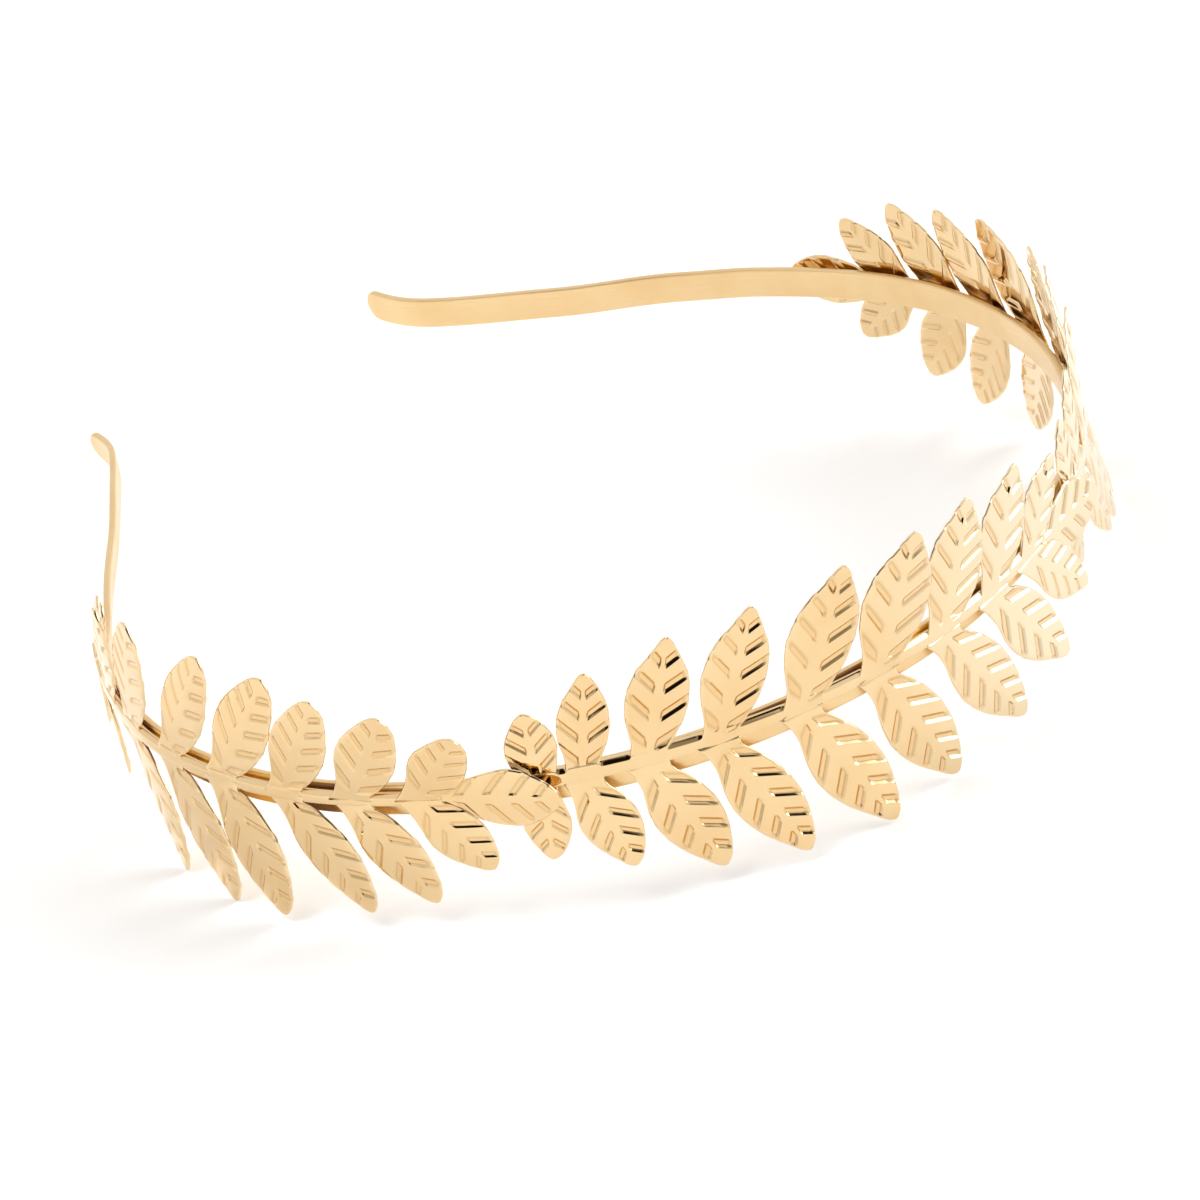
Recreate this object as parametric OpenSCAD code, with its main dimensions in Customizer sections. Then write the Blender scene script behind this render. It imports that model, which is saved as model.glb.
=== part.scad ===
// Laurel wreath crown: an open springy metal strip with three stamped sprays of leaves fixed round its outside.
// Lengths are millimetres. The front faces -Y, the strip's two ends point to +Y, and +Z is up.
// The crown stands on its lowest leaf tips at Z = 0.

/* [Strip] */
// Length of the bent strip along its middle, from end to end
strip_len = 400; // [360:5:440]
// Height of the strip
strip_h = 4.5; // [3.5:0.25:6]
// Thickness of the strip
strip_t = 1; // [0.8:0.1:1.4]
// Width of the worn bevel along the strip's corners
strip_bevel = 0.2; // [0.1:0.05:0.3]

/* [Sprays] */
// Length of a spray from its first pair of leaves to the tip of its end leaf
spray_len = 91.5; // [86:0.5:94]
// How far the end leaf of one spray runs past the first leaves of the next
spray_lap = 2; // [1:0.25:3]
// How far the three sprays sit to the left of the strip's middle
spray_shift = 2.75; // [0:0.25:5]
// Length of bare stem ahead of the first pair of leaves
stem_foot = 2; // [1:0.25:3]
// Width of the stem
stem_w = 2.2; // [1.6:0.1:3.2]
// Height of the pressed ridge along the stem
stem_ridge = 0.35; // [0.2:0.05:0.5]
// Thin seat of solder between the strip and a stem
seat_gap = 0.1; // [0.08:0.01:0.15]

/* [Leaves] */
// Thickness of the stamped metal
leaf_t = 0.45; // [0.35:0.05:0.6]
// Length of the longest leaf, from the middle of the stem to its tip
leaf_len = 20.3; // [16:0.1:22]
// Width of the widest leaf
leaf_w = 8.8; // [7.5:0.1:9.4]
// How much wider the half of a leaf toward the stem's end is than its middle half width
leaf_skew = 0.08; // [0:0.01:0.12]
// How far the back of a leaf stands in front of the back of the stem
leaf_lift = 0.12; // [0.08:0.01:0.2]
// Depth of the pressed veins
vein_depth = 0.35; // [0.2:0.05:0.5]
// How far the edges of a leaf are pressed back from its middle rib
leaf_camber = 0.5; // [0.2:0.05:0.7]
// Lean of the left spray's leaves away from the strip, in degrees
left_lean = 2; // [1:0.5:8]
// Lean of the front spray's leaves away from the strip, in degrees
front_lean = 5.5; // [1:0.5:8]
// Lean of the right spray's leaves away from the strip, in degrees
right_lean = 1; // [1:0.5:8]
// Lean of the end leaf away from the strip, in degrees
end_lean = 3; // [2:0.5:6]

/* [Hidden] */
$fn = 96;
GILT = "#f0d29b";
PALE_GILT = "#f5dcae";

// Bends of one half of the strip from the front to its end: share of the half's length, turn in degrees.
// A minus turn bends away from the head.
BEND_SHARE = 0;
BEND_TURN = 1;
BENDS = [
    [0.105, 19],
    [0.210, 34],
    [0.264, 49.5],
    [0.105, 16],
    [0.105, 10],
    [0.075, -2],
    [0.088, -4.5],
    [0.048, -34]
];

// Leaf pairs from the foot of a spray to its end: place as a share of the spray's length, length as a share
// of the longest leaf, width as a share of the widest, angle to the stem in degrees, pressed veins a side.
PAIR_PLACE = 0;
PAIR_LEN = 1;
PAIR_WIDTH = 2;
PAIR_ANGLE = 3;
PAIR_VEINS = 4;
PAIRS = [
    [0.000, 0.50, 0.70, 85, 3],
    [0.058, 0.70, 0.76, 75, 3],
    [0.146, 0.88, 0.88, 70, 4],
    [0.244, 0.97, 0.94, 68, 4],
    [0.362, 1.00, 0.98, 64, 4],
    [0.482, 0.95, 1.00, 63, 4],
    [0.600, 0.89, 0.96, 61, 4],
    [0.708, 0.80, 0.88, 57, 4],
    [0.809, 0.63, 0.76, 50, 3]
];
END_PLACE = 0.84;
END_WIDTH = 0.84;
END_VEINS = 4;
// Leaves that wear has bent out of line: spray, pair, side (1 is up, -1 down), turn toward the stem's end and
// lean away from the strip, both in degrees
BENT_LEAF = [0, 1, 2];
BENT_TURN = 3;
BENT_LEAN = 4;
BENT_LEAVES = [
    [0, 4, 1, 7, -1],
    [0, 5, 1, 9, -1],
    [0, 7, 1, 2, 10],
    [0, 8, 1, -2, 14],
    [1, 0, 1, 0, -5],
    [1, 1, 1, 0, -5],
    [1, 5, -1, -7, 0],
    [2, 5, 1, 8, 0],
    [2, 8, -1, 0, 12]
];

// Half of a leaf's outline: share of its length, share of its half width
OUTLINE = [
    [0.00, 0.28],
    [0.10, 0.36],
    [0.20, 0.62],
    [0.32, 0.88],
    [0.45, 1.00],
    [0.60, 0.96],
    [0.75, 0.78],
    [0.88, 0.50],
    [0.96, 0.27],
    [1.00, 0.10]
];
// Lines along a leaf, as shares of its half width: its edges, the inner ends of the veins and the middle rib
LEAF_LINES = [-1, -0.24, 0, 0.24, 1];
VEIN_SLANT = 0.17;
EDGE_NOTCH = 0.03;

COLLAR_LEN = 0.3;
COLLAR_GROW = 0.02;
STEM_STEPS = 20;
SLICE = 0.2;
RIDGE_SHARE = 0.36;
CUT = 1;

half_len = strip_len / 2;
spray_pitch = spray_len - spray_lap;
sprays_run = 2 * spray_pitch + spray_len;
first_foot = -sprays_run / 2 - spray_shift;
LEANS = [left_lean, front_lean, right_lean];
seat_z = strip_t / 2 + seat_gap;
stem_run = stem_foot + END_PLACE * spray_len;
end_len = (1 - END_PLACE) * spray_len;

// The bent line of the strip
function bend_len(i) = BENDS[i][BEND_SHARE] * half_len;
function bend_turn(i) = BENDS[i][BEND_TURN];
function bend_start(i) = i == 0 ? 0 : bend_start(i - 1) + bend_len(i - 1);
function bend_heading(i) = i == 0 ? 0 : bend_heading(i - 1) + bend_turn(i - 1);
function bend_radius(i) = bend_len(i) * 180 / (PI * bend_turn(i));
function along_arc(heading, turn, radius) =
    radius * [sin(heading + turn) - sin(heading), cos(heading) - cos(heading + turn)];
function bend_point(i) =
    i == 0 ? [0, 0] : bend_point(i - 1) + along_arc(bend_heading(i - 1), bend_turn(i - 1), bend_radius(i - 1));
function bend_at(s, i = 0) = i == len(BENDS) - 1 || s < bend_start(i + 1) ? i : bend_at(s, i + 1);

// Place and heading on the strip, at a length s from its front: [x, y, heading]
function half_spot(s) =
    let (i = bend_at(s), turn = bend_turn(i) * (s - bend_start(i)) / bend_len(i),
         p = bend_point(i) + along_arc(bend_heading(i), turn, bend_radius(i)))
    [p.x, p.y, bend_heading(i) + turn];
function spot(s) = s < 0 ? let (m = half_spot(-s)) [-m.x, m.y, -m.z] : half_spot(s);

// One leaf of a spray: its length, its angle to the stem, its lean and how far its tip reaches up or down
function bent(n, pair, side, column) =
    let (found = [for (b = BENT_LEAVES) if ([for (c = BENT_LEAF) b[c]] == [n, pair, side]) b[column]])
    len(found) == 0 ? 0 : found[0];
function pair_len(pair) = leaf_len * PAIRS[pair][PAIR_LEN];
function pair_width(pair) = leaf_w * PAIRS[pair][PAIR_WIDTH];
function leaf_turn(n, pair, side) = PAIRS[pair][PAIR_ANGLE] - bent(n, pair, side, BENT_TURN);
function leaf_lean(n, pair, side) = LEANS[n] + bent(n, pair, side, BENT_LEAN);
function tip_reach(n, pair, side) =
    let (tip_half = pair_width(pair) * (1 + leaf_skew) * OUTLINE[len(OUTLINE) - 1][1] / 2,
         turn = leaf_turn(n, pair, side))
    (pair_len(pair) * sin(turn) + tip_half * cos(turn)) * cos(leaf_lean(n, pair, side));
// A leaning leaf is lifted further, so that the far corner of its foot clears the strip too
function foot_lift(n, pair, side) =
    leaf_lift + pair_width(pair) * (1 + leaf_skew) * OUTLINE[0][1] / 2 * cos(leaf_turn(n, pair, side))
    * max(0, sin(leaf_lean(n, pair, side)));

// Where the tip of a leaf stands in plan
function tip_plan(n, pair, side) =
    let (at = spot(first_foot + n * spray_pitch + PAIRS[pair][PAIR_PLACE] * spray_len),
         turn = leaf_turn(n, pair, side),
         ahead = pair_len(pair) * cos(turn),
         out = seat_z + leaf_t + foot_lift(n, pair, side)
               + pair_len(pair) * sin(turn) * sin(leaf_lean(n, pair, side)))
    [at.x + ahead * cos(at.z) + out * sin(at.z), at.y + ahead * sin(at.z) - out * cos(at.z)];
leaves = [for (n = [0:2]) for (pair = [0:len(PAIRS) - 1]) for (side = [1, -1]) [n, pair, side]];
tips = [for (l = leaves) tip_plan(l.x, l.y, l.z)];
strip_end_y = half_spot(half_len).y + strip_t / 2;
middle_x = (max([for (t = tips) t.x]) + min([for (t = tips) t.x])) / 2;
middle_y = (strip_end_y + min([for (t = tips) t.y])) / 2;
stand_h = max([for (l = leaves) if (l.z < 0) tip_reach(l.x, l.y, l.z)]);

// Stands the crown on its leaf tips, with the middle of its bounding box over the origin
module stand() {
    translate([-middle_x, -middle_y, stand_h])
        children();
}

// Local axes on the strip: X ahead along it, Y up and Z away from the head
module on_strip(s) {
    at = spot(s);
    translate([at.x, at.y, 0])
        rotate([90, 0, at.z])
        children();
}

// Section of the strip with its corners worn to a bevel
module strip_section(grow = 0) {
    x = strip_t / 2 + grow;
    y = strip_h / 2 + grow;
    polygon([
        [-x + strip_bevel, -y], [x - strip_bevel, -y], [x, -y + strip_bevel], [x, y - strip_bevel],
        [x - strip_bevel, y], [-x + strip_bevel, y], [-x, y - strip_bevel], [-x, -y + strip_bevel]
    ]);
}

// One bend of the strip, as a turned arc about its own centre
module strip_bend(i) {
    r = bend_radius(i);
    p = bend_point(i);
    a = bend_heading(i);
    turn = bend_turn(i);
    translate([p.x - r * sin(a), p.y + r * cos(a), 0])
        rotate([0, 0, turn > 0 ? a - 90 : a + 90 + turn])
        rotate_extrude(angle = abs(turn))
        translate([abs(r), 0])
        strip_section();
}

// A hair-thin collar where one bend runs into the next, which makes them one solid
module bend_collar(i) {
    on_strip(bend_start(i))
        rotate([0, 90, 0])
        linear_extrude(COLLAR_LEN, center = true)
        strip_section(COLLAR_GROW);
}

// What is cut off the strip's end to leave it round
module end_corners() {
    r = strip_h / 2;
    on_strip(half_len)
        difference() {
            translate([-r, -r - CUT, -r])
                cube([r + CUT, 2 * (r + CUT), 2 * r]);
            translate([-r, 0, -r - CUT])
                cylinder(r = r, h = 2 * (r + CUT));
        }
}

module half_strip() {
    difference() {
        union() {
            for (i = [0:len(BENDS) - 1]) {
                strip_bend(i);
                bend_collar(i);
            }
        }
        end_corners();
    }
}

module strip() {
    color(GILT)
        stand() {
            half_strip();
            mirror([1, 0, 0])
                half_strip();
        }
}

// A pressed vein lies between each two ribs, so the rows of a leaf take turns as rib and vein
function is_vein(k, rows) = k > 0 && k < rows && k % 2 == 0;
function leaf_point(k, rows, line, length, width, skew, lift) =
    let (mid = k / rows,
         edge = mid + VEIN_SLANT * sin(180 * mid),
         along = mid + (edge - mid) * abs(line),
         notch = is_vein(k, rows) && abs(line) == 1 ? 1 - EDGE_NOTCH : 1,
         raised = k > 0 && k < rows && !(is_vein(k, rows) && line != 0))
    [
        along * length,
        line * (1 - skew * line) * notch * lookup(edge, OUTLINE) * width / 2,
        lift + (raised ? vein_depth : 0) - leaf_camber * along * line * line
    ];

// One stamped leaf along +X, its back on Z = 0 at its foot
module leaf(length, width, skew, veins) {
    rows = 2 * veins + 2;
    lines = len(LEAF_LINES);
    face = (rows + 1) * lines;
    front = [
        for (k = [0:rows]) for (line = LEAF_LINES)
        leaf_point(k, rows, line, length, width, skew, leaf_t)
    ];
    back = [for (p = front) [p.x, p.y, p.z - leaf_t]];
    cells = [for (k = [0:rows - 1]) for (j = [0:lines - 2]) k * lines + j];
    last = lines - 1;
    polyhedron(
        points = concat(front, back),
        faces = concat(
            [for (c = cells) [c, c + 1, c + lines + 1]],
            [for (c = cells) [c, c + lines + 1, c + lines]],
            [for (c = cells) [face + c, face + c + lines + 1, face + c + 1]],
            [for (c = cells) [face + c, face + c + lines, face + c + lines + 1]],
            [for (k = [0:rows - 1]) let (c = k * lines) [c, c + lines, face + c + lines]],
            [for (k = [0:rows - 1]) let (c = k * lines) [c, face + c + lines, face + c]],
            [for (k = [0:rows - 1]) let (c = k * lines + last) [c + lines, c, face + c]],
            [for (k = [0:rows - 1]) let (c = k * lines + last) [c + lines, face + c, face + c + lines]],
            [for (j = [0:lines - 2]) [j + 1, j, face + j]],
            [for (j = [0:lines - 2]) [j + 1, face + j, face + j + 1]],
            [for (j = [0:lines - 2]) let (c = rows * lines + j) [c, c + 1, face + c + 1]],
            [for (j = [0:lines - 2]) let (c = rows * lines + j) [c, face + c + 1, face + c]]
        )
    );
}

// A short slice of the stem, with its flat back toward the strip and its pressed ridge away from the head
module stem_slice() {
    w = stem_w / 2;
    ridge = w * RIDGE_SHARE;
    top = leaf_t + stem_ridge;
    rotate([90, 0, 90])
        linear_extrude(SLICE, center = true)
        polygon([[-w, 0], [w, 0], [w, leaf_t], [ridge, top], [-ridge, top], [-w, leaf_t]]);
}

// Stem of the spray whose first pair stands at s
module stem(s) {
    for (n = [0:STEM_STEPS - 1])
        hull()
            for (m = [n, n + 1])
                on_strip(s - stem_foot + stem_run * m / STEM_STEPS)
                    translate([0, 0, seat_z])
                    stem_slice();
}

// Two leaves, one up and one down, across the stem
module leaf_pair(n, pair) {
    translate([0, 0, seat_z])
        for (side = [1, -1])
            mirror([0, side < 0 ? 1 : 0, 0])
                translate([0, 0, foot_lift(n, pair, side)])
                rotate([leaf_lean(n, pair, side), 0, 0])
                rotate([0, 0, leaf_turn(n, pair, side)])
                leaf(pair_len(pair), pair_width(pair), leaf_skew, PAIRS[pair][PAIR_VEINS]);
}

// One stamping: its stem, its pairs of leaves and the leaf at its end
module spray(n) {
    s = first_foot + n * spray_pitch;
    stand() {
        stem(s);
        for (pair = [0:len(PAIRS) - 1])
            on_strip(s + PAIRS[pair][PAIR_PLACE] * spray_len)
                leaf_pair(n, pair);
        on_strip(s + END_PLACE * spray_len)
            translate([0, 0, seat_z + leaf_lift])
            rotate([0, -end_lean, 0])
            leaf(end_len, leaf_w * END_WIDTH, 0, END_VEINS);
    }
}

module left_spray() {
    color(PALE_GILT)
        spray(0);
}

module front_spray() {
    color(PALE_GILT)
        spray(1);
}

module right_spray() {
    color(PALE_GILT)
        spray(2);
}

strip();
left_spray();
front_spray();
right_spray();
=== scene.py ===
# %% [markdown]
# # A gilt laurel wreath crown
#
# The crown is an open, springy metal strip that goes round the head, with three stamped sprays of laurel
# leaves soldered round its outside. The hard shapes were made first, in a CAD program, and arrive here as a
# fixed frame. This script dresses that frame: it makes each piece again as a fine mesh in the same place,
# gives the metal its polish, and sets up the floor, the light and the camera.

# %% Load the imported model
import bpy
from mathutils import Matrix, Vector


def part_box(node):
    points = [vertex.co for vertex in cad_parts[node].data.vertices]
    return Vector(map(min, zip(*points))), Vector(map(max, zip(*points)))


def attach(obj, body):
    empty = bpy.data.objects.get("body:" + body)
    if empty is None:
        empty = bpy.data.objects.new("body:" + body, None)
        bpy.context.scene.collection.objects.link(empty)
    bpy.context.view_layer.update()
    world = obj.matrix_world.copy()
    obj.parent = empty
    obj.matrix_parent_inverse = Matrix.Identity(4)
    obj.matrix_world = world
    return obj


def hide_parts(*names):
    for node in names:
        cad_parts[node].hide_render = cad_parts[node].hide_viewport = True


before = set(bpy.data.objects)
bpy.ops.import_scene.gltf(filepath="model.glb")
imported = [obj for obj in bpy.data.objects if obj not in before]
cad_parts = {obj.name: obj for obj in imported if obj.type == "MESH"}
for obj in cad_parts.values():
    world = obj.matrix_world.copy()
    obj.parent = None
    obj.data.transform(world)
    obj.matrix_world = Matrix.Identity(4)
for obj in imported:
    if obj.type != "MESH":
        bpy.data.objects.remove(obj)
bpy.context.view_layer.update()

print("CAD pieces:", sorted(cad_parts))

# %% Tools for meshes and numbers
import math
import random

import bmesh
import bpy
import numpy as np
from mathutils import Matrix, Vector

MM = 0.001
CHANCE_SEED = 27
hand = random.Random(CHANCE_SEED)
print("Lengths below are millimetres; a mesh is made in metres by MM =", MM)

# %% [markdown]
# ## The bent line
#
# On the real crown the strip is one length of flat wire, rolled to the shape of a head. Everything else sits
# on it, so its middle line comes first. It could be a drawn curve, but a row of arcs that run smoothly into
# one another is how a bending jig makes it. A place on the crown is then a single number: the length along
# the strip from its front.

# %% The bends of one half, from the front to the end
STRIP_LEN = 400
STRIP_H = 4.5
STRIP_T = 1
# Share of the half length, and how far the strip turns over it in degrees
BENDS = [
    (0.105, 19), (0.210, 34), (0.264, 49.5), (0.105, 16),
    (0.105, 10), (0.075, -2), (0.088, -4.5), (0.048, -34),
]
half_len = STRIP_LEN / 2


def along_arc(heading, turn, radius):
    """The step from one end of an arc to the other."""
    a, b = math.radians(heading), math.radians(heading + turn)
    return Vector((radius * (math.sin(b) - math.sin(a)), radius * (math.cos(a) - math.cos(b))))


bends, start, place, heading = [], 0, Vector((0, 0)), 0
for share, turn in BENDS:
    length = share * half_len
    radius = length / math.radians(turn)
    bends.append((start, length, place, heading, turn, radius))
    place = place + along_arc(heading, turn, radius)
    start, heading = start + length, heading + turn


def spot(s):
    """Place and heading in degrees on the strip's middle line, at a length s from its front."""
    start, length, place, heading, turn, radius = [b for b in bends if b[0] <= abs(s)][-1]
    part = turn * (abs(s) - start) / length
    at = place + along_arc(heading, part, radius)
    return (at.x, at.y, heading + part) if s >= 0 else (-at.x, at.y, -heading - part)


print("The strip ends", round(2 * spot(half_len)[0], 1), "mm apart")

# %% [markdown]
# ## Where the crown stands
#
# The CAD model puts the middle of its box over the origin and stands the crown on its leaf tips. The mesh of
# the strip in the frame says how far that moved it, so nothing has to be fitted by eye: the strip is even
# left and right and top and bottom, and its two ends are the furthest back.

# %% Read the shift from the frame
strip_low, strip_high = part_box("strip")
strip_mid = (Vector(strip_low) + Vector(strip_high)) / 2 / MM
STAND = Vector((strip_mid.x, Vector(strip_low).y / MM + STRIP_T / 2, strip_mid.z))
print("The strip's front is at", [round(c, 3) for c in STAND])


def turned(axis, degrees):
    """A turn about one axis."""
    return Matrix.Rotation(math.radians(degrees), 4, axis)


def on_strip(s):
    """Axes on the strip: X ahead along it, Y up and Z away from the head."""
    x, y, heading = spot(s)
    return Matrix.Translation(STAND + Vector((x, y, 0))) @ (turned("Z", heading) @ turned("X", 90))


# %% [markdown]
# ## Turning rings of points into metal
#
# A drawn wire or a stem is a section carried along a line. The helper below joins ring after ring of points
# with four-sided faces and closes both ends, which keeps the mesh clean and watertight. Every point of a
# piece also carries a mark, three numbers that say where on the piece it is, for the finishes to use later.

# %% Ring and mesh helpers
def ring_faces(rings, points):
    """Faces of a closed tube whose rings follow one another in the list of points."""
    faces = []
    for r in range(rings - 1):
        for p in range(points):
            a, b = r * points + p, r * points + (p + 1) % points
            faces.append((a, b, b + points, a + points))
    last = (rings - 1) * points
    return [*faces, tuple(reversed(range(points))), tuple(range(last, last + points))]


def metal_piece(name, points, faces, mark, values):
    """A smooth mesh object from points in millimetres, with a value of the mark on every point."""
    mesh = bpy.data.meshes.new(name)
    mesh.from_pydata([tuple(c * MM for c in p) for p in points], [], faces)
    mesh.attributes.new(mark, "FLOAT_VECTOR", "POINT").data.foreach_set("vector", np.ravel(values))
    outward = bmesh.new()
    outward.from_mesh(mesh)
    bmesh.ops.recalc_face_normals(outward, faces=outward.faces)
    outward.to_mesh(mesh)
    outward.free()
    mesh.polygons.foreach_set("use_smooth", [True] * len(mesh.polygons))
    piece = bpy.data.objects.new(name, mesh)
    bpy.context.collection.objects.link(piece)
    print(name, "has", sum(len(f.vertices) - 2 for f in mesh.polygons), "triangles")
    return piece


# %% [markdown]
# ## The strip
#
# The strip is flat wire, 4.5 mm high and 1 mm thick, whose corners the tumbling barrel has rounded. Its ends
# are cut round and bend outward so that they don't dig in behind the ears. The section is drawn once as a
# rounded rectangle; near an end it shrinks in height along a rounded square.

# %% Section of the strip
# Radius of the corners, its greatest share of the half height, and where the flats have extra points
CORNER = 0.36
CORNER_MOST = 0.8
CORNER_STEPS = 5
FLAT_POINTS = (0.45, 0.93)


def strip_section(half_height):
    """Rounded rectangle as (out, up) points, with extra ones on each flat to keep its shading flat."""
    x, y = STRIP_T / 2, half_height
    r = min(CORNER, y * CORNER_MOST)
    angles = [math.pi / 2 * k / CORNER_STEPS for k in range(CORNER_STEPS + 1)]
    quarter = [(x, (y - r) * share) for share in FLAT_POINTS]
    quarter += [(x - r + r * math.cos(a), y - r + r * math.sin(a)) for a in angles]
    flipped = [(-a, b) for a, b in reversed(quarter)]
    return quarter + flipped + [(-a, -b) for a, b in quarter] + [(a, -b) for a, b in reversed(quarter)]


print("The strip's section has", len(strip_section(STRIP_H / 2)), "points")

# %% [markdown]
# ## A strip that has been worn
#
# A strip that is sprung open over a head time after time doesn't stay true. On the real crown its left half
# is a little straighter, its right end hangs lower, and the free length on the left is twisted. The section
# could be drawn along a second, crooked line, but a short table of lifts and twists on top of the true line
# keeps both readable. The sprays stay on the true line, where the frame has them.

# %% How wear has bent the strip
# Place along the strip, how far up and how far out it has moved, and its twist in degrees
STRIP_WEAR = [
    (-200, 0.9, 0, 7), (-192, 0.7, 0, -3), (-182, 0.9, 0, -5), (-165, 0, -0.1, -9),
    (-145, -0.8, -0.4, -11), (-134, -0.5, 0, 0), (-90, -0.7, 0, 0), (-45, -0.7, 0, 0),
    (0, 0, 0, 0), (45, 0.2, 0, 0), (85, 0.7, 0, 0), (115, 0.9, 0, 0), (138, 0.7, 0, 0),
    (150, 0.4, 0, 0), (170, -0.4, 0, 0), (188, -0.8, 0, 0), (200, -0.2, 0, 0),
]


def eased(share):
    """A share from 0 to 1 that starts and ends gently."""
    return share * share * (3 - 2 * share)


def worn(s):
    """Where wear has moved the strip's section at s, eased from one place of the table to the next."""
    low, high = [pair for pair in zip(STRIP_WEAR, STRIP_WEAR[1:]) if s >= pair[0][0]][-1]
    share = eased((s - low[0]) / (high[0] - low[0]))
    rise, out, twist = (a + (b - a) * share for a, b in zip(low[1:], high[1:]))
    return Matrix.Translation((0, rise, out)) @ turned("X", twist)


print("Wear lifts the strip by", max(rise for _, rise, _, _ in STRIP_WEAR), "mm at most")

# %% Draw the strip
# Length of a step, and for the rounded ends: steps, how square they are and what is left at the tip
STATION_GAP = 1.5
END_STEPS = 9
END_SQUARE = 2.4
END_CUT = 0.004
END_LEAST = 0.001
round_end = STRIP_H / 2
near_end = [half_len - round_end * (1 - math.sin(math.pi / 2 * k / END_STEPS)) for k in range(END_STEPS)]
straight = np.linspace(0, near_end[0], round(near_end[0] / STATION_GAP))[:-1]
half_stations = [*straight, *near_end, half_len - END_CUT]
stations = [-s for s in reversed(half_stations[1:])] + half_stations


def strip_half_height(s):
    """Half height of the strip at s, less and less over the rounded ends."""
    past = max(0, abs(s) - (half_len - round_end))
    return round_end * max(1 - (past / round_end) ** END_SQUARE, END_LEAST) ** (1 / END_SQUARE)


strip_points, strip_marks = [], []
for s in stations:
    axes = on_strip(s) @ worn(s)
    for out, up in strip_section(strip_half_height(s)):
        strip_points.append(axes @ Vector((0, up, out)))
        strip_marks.append((s, up, out))

strip_faces = ring_faces(len(stations), len(strip_section(STRIP_H / 2)))
strip = metal_piece("springy_strip", strip_points, strip_faces, "grain", strip_marks)

# %% [markdown]
# ## The outline of a leaf
#
# One press tool cuts every leaf, so an outline is drawn once, in shares of a leaf's length and half width,
# and serves all sizes. The edge toward the foot of the spray is fuller low down and the front edge fuller
# near the tip, which gives the leaf its sweep. The end leaf is even on both sides.

# %% Edges of a leaf
# Length and width of the largest leaf
LEAF_LEN = 20.3
LEAF_W = 8.8
# Along each edge: share of the length, share of the half width
REAR_EDGE = [
    (0, 0.30), (0.08, 0.46), (0.2, 0.72), (0.33, 0.95), (0.45, 1.04), (0.58, 1.0), (0.7, 0.85),
    (0.8, 0.66), (0.88, 0.48), (0.94, 0.34), (0.975, 0.22), (1, 0.03),
]
FRONT_EDGE = [
    (0, 0.30), (0.08, 0.43), (0.2, 0.72), (0.35, 0.94), (0.5, 1.04), (0.65, 0.98),
    (0.78, 0.80), (0.88, 0.60), (0.94, 0.43), (0.975, 0.28), (1, 0.03),
]
END_EDGE = [
    (0, 0.28), (0.1, 0.36), (0.2, 0.6), (0.34, 0.82), (0.48, 0.98), (0.6, 1.05),
    (0.72, 0.97), (0.83, 0.76), (0.91, 0.53), (0.96, 0.37), (0.985, 0.23), (1, 0.04),
]
EDGE_SAMPLES = 241
EDGE_ROUNDING = 15


def smooth_edge(corners):
    """The edge through these corners, rounded by a sliding average, as (lengths, widths)."""
    lengths = np.linspace(0, 1, EDGE_SAMPLES)
    widths = np.interp(lengths, *zip(*corners))
    window = np.hanning(EDGE_ROUNDING)
    padded = np.pad(widths, EDGE_ROUNDING // 2, mode="reflect", reflect_type="odd")
    return lengths, np.convolve(padded, window / window.sum(), mode="valid")


rear_edge, front_edge, end_edge = (smooth_edge(edge) for edge in (REAR_EDGE, FRONT_EDGE, END_EDGE))
for title, (lengths, widths) in (("rear", rear_edge), ("front", front_edge), ("end leaf's", end_edge)):
    print("The", title, "edge is widest at", round(float(lengths[widths.argmax()]), 2), "of the length")

# %% [markdown]
# ## Pressed veins
#
# A press stamps a whole spray from thin sheet: it cuts the outline, bends each leaf a little back along its
# edges and presses veins into it. The veins are flat-floored grooves that slant away from the middle of the
# leaf, closed at their inner ends and shallow at the rim. A bump map could fake them, but they show in the
# leaf's outline and catch hard reflections on their walls, so they are real relief here. The grid of the mesh
# follows the slanting grooves, which keeps their walls straight with few faces.

# %% Form of the veins and the rim
# Middles of the veins along a leaf, for a leaf with this many on each side
VEIN_CENTRES = {3: (0.19, 0.46, 0.72), 4: (0.13, 0.35, 0.57, 0.78), 5: (0.10, 0.28, 0.47, 0.65, 0.82)}
# From the middle of a groove toward the next one: share of their spacing, share of the groove's depth
GROOVE = [(0.07, 1), (0.092, 0.955), (0.118, 0.83), (0.212, 0.14), (0.228, 0.03), (0.236, 0), (0.246, 0)]
# From the middle of a leaf to its edge: share of the half width, share of the groove's depth
VEIN_RUN = [
    (0.14, 0), (0.148, 0), (0.156, 0.07), (0.168, 0.2), (0.222, 0.86), (0.24, 0.97), (0.26, 1),
    (0.8, 1), (1, 0.3),
]
# Roll of the cut rim: share of the half width or of the length, how far it drops in millimetres
RIM_ROLL = [(0.93, 0), (0.97, 0.05), (1, 0.19)]
TIP_ROLL = [(0.975, 0), (0.99, 0.05), (1, 0.19)]
print("The rim rolls back by", RIM_ROLL[-1][1], "mm")

# %% Rows along a leaf and lines across it
FOOT_ROWS = [0, 0.02, 0.045]
TIP_ROWS = [0.93, 0.955, 0.975, 0.99, 1]
ROW_DIGITS = 5
MOST_VEINS = max(VEIN_CENTRES)
PLAIN_LINES = [0, 0.08, 0.4, 0.54, 0.68]
half_lines = sorted({*PLAIN_LINES, *(at for at, _ in VEIN_RUN + RIM_ROLL)})
across = np.array([-at for at in reversed(half_lines[1:])] + half_lines)


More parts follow.
